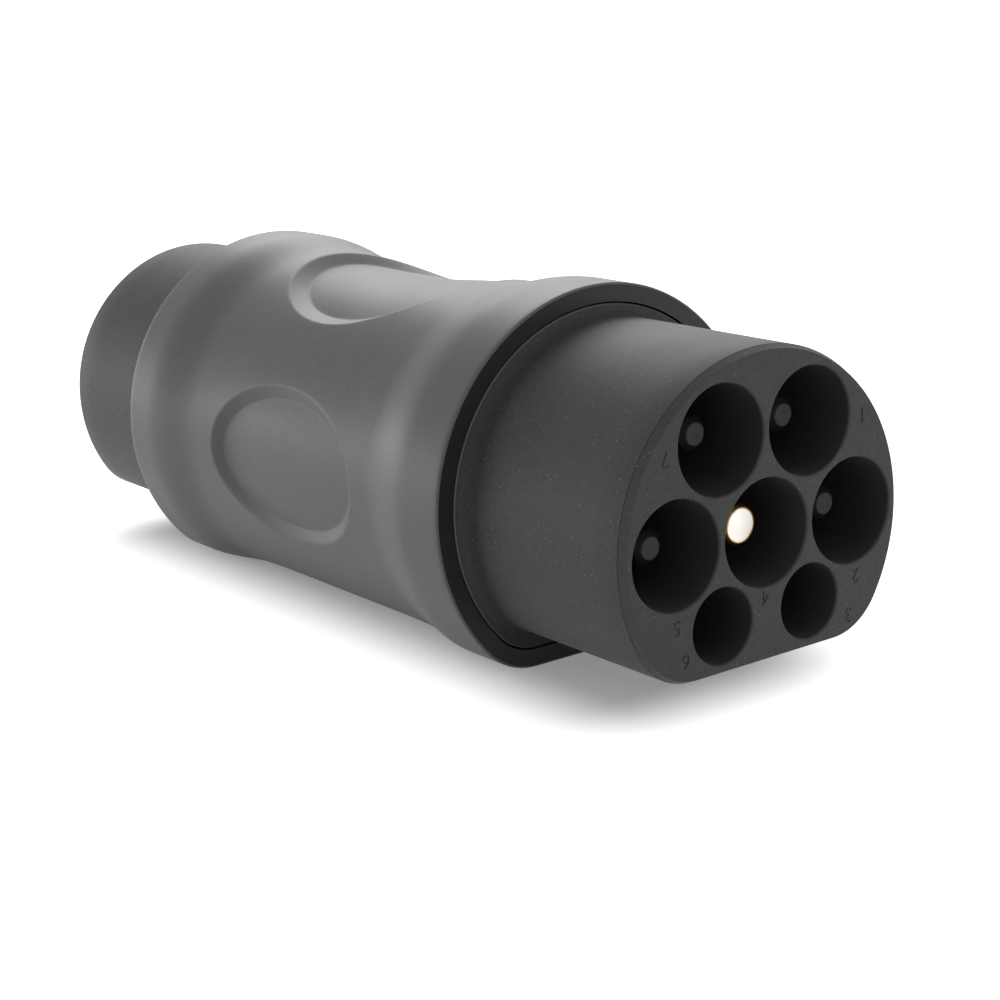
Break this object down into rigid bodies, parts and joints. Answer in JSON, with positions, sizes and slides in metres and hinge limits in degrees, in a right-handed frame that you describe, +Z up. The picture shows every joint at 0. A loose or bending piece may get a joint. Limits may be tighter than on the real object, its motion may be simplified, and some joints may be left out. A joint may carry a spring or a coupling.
{
  "type": "ev charging adapter",
  "caption": "Straight charging adapter with a soft waisted grip, a finger scallop on top, and a dark D-shaped nose of recessed pin contacts at each end.",
  "frame": {"origin": "middle of the adapter's length and width, on the surface that its flat lies on", "axes": "+Y along the adapter from the front face to the rear face, +Z up, away from the flat"},
  "size_m": [0.0642, 0.1634, 0.0582],
  "materials": {
    "grip": "soft matt",
    "core": "satin",
    "block": "matt",
    "seal": "matt",
    "retainer": "matt",
    "screw": "turned",
    "contact": "silver plated",
    "contact_tip": "matt",
    "phase_1_insulation": "satin",
    "phase_2_insulation": "satin",
    "phase_3_insulation": "satin",
    "neutral_insulation": "satin",
    "earth_insulation": "satin",
    "pilot_insulation": "satin",
    "proximity_insulation": "satin",
    "board": "satin",
    "resistor": "satin"
  },
  "bodies": {
    "root": {"grip_sleeve": "grip", "core_shell": "core", "front_block": "block", "front_gasket": "seal", "front_retainer": "retainer", "front_retainer_screws": "screw", "front_phase_1_pin": "contact", "front_neutral_pin": "contact", "front_phase_2_pin": "contact", "front_phase_3_pin": "contact", "front_earth_pin": "contact", "front_pilot_pin": "contact", "front_proximity_pin": "contact", "front_phase_1_guard": "contact_tip", "front_phase_2_guard": "contact_tip", "front_phase_3_guard": "contact_tip", "front_neutral_guard": "contact_tip", "rear_block": "block", "rear_gasket": "seal", "rear_retainer": "retainer", "rear_retainer_screws": "screw", "rear_phase_1_pin": "contact", "rear_neutral_pin": "contact", "rear_phase_2_pin": "contact", "rear_phase_3_pin": "contact", "rear_earth_pin": "contact", "rear_pilot_pin": "contact", "rear_proximity_pin": "contact", "rear_phase_1_guard": "contact_tip", "rear_phase_2_guard": "contact_tip", "rear_phase_3_guard": "contact_tip", "rear_neutral_guard": "contact_tip", "phase_1_wire": "phase_1_insulation", "neutral_wire": "neutral_insulation", "phase_2_wire": "phase_2_insulation", "phase_3_wire": "phase_3_insulation", "earth_wire": "earth_insulation", "pilot_wire": "pilot_insulation", "proximity_wire": "proximity_insulation", "coding_board": "board", "coding_resistor": "resistor"}
  },
  "joints": []
}
